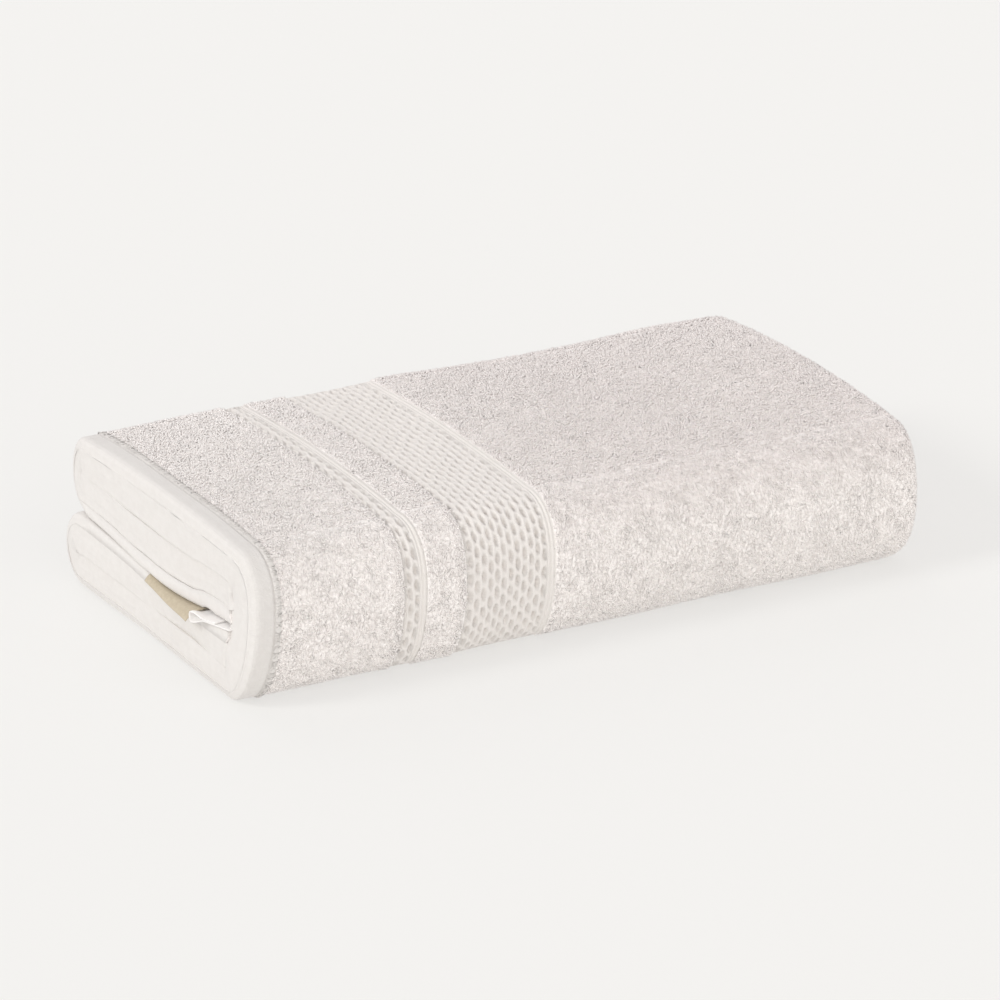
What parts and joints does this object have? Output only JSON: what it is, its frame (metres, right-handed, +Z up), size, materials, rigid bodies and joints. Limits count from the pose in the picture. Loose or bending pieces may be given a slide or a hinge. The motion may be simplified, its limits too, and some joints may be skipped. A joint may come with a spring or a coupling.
{
  "type": "folded hand towel",
  "caption": "White terry hand towel folded into a soft rectangular pad, with a recessed narrow border, a wide honeycomb border, a flat hem and two blank sewn-in labels.",
  "frame": {"origin": "under the middle of the folded towel's box, on the surface it lies on", "axes": "+X along the folded towel from its hem end to its fold end, +Y from the near big fold to the two far folds, +Z up"},
  "size_m": [0.242, 0.1266, 0.0515],
  "materials": {
    "terry": "soft cotton terry pile",
    "label_weave": "flat woven",
    "label_satin": "smooth satin weave"
  },
  "bodies": {
    "root": {"towel": "terry", "woven_label": "label_weave", "care_label": "label_satin"}
  },
  "joints": []
}
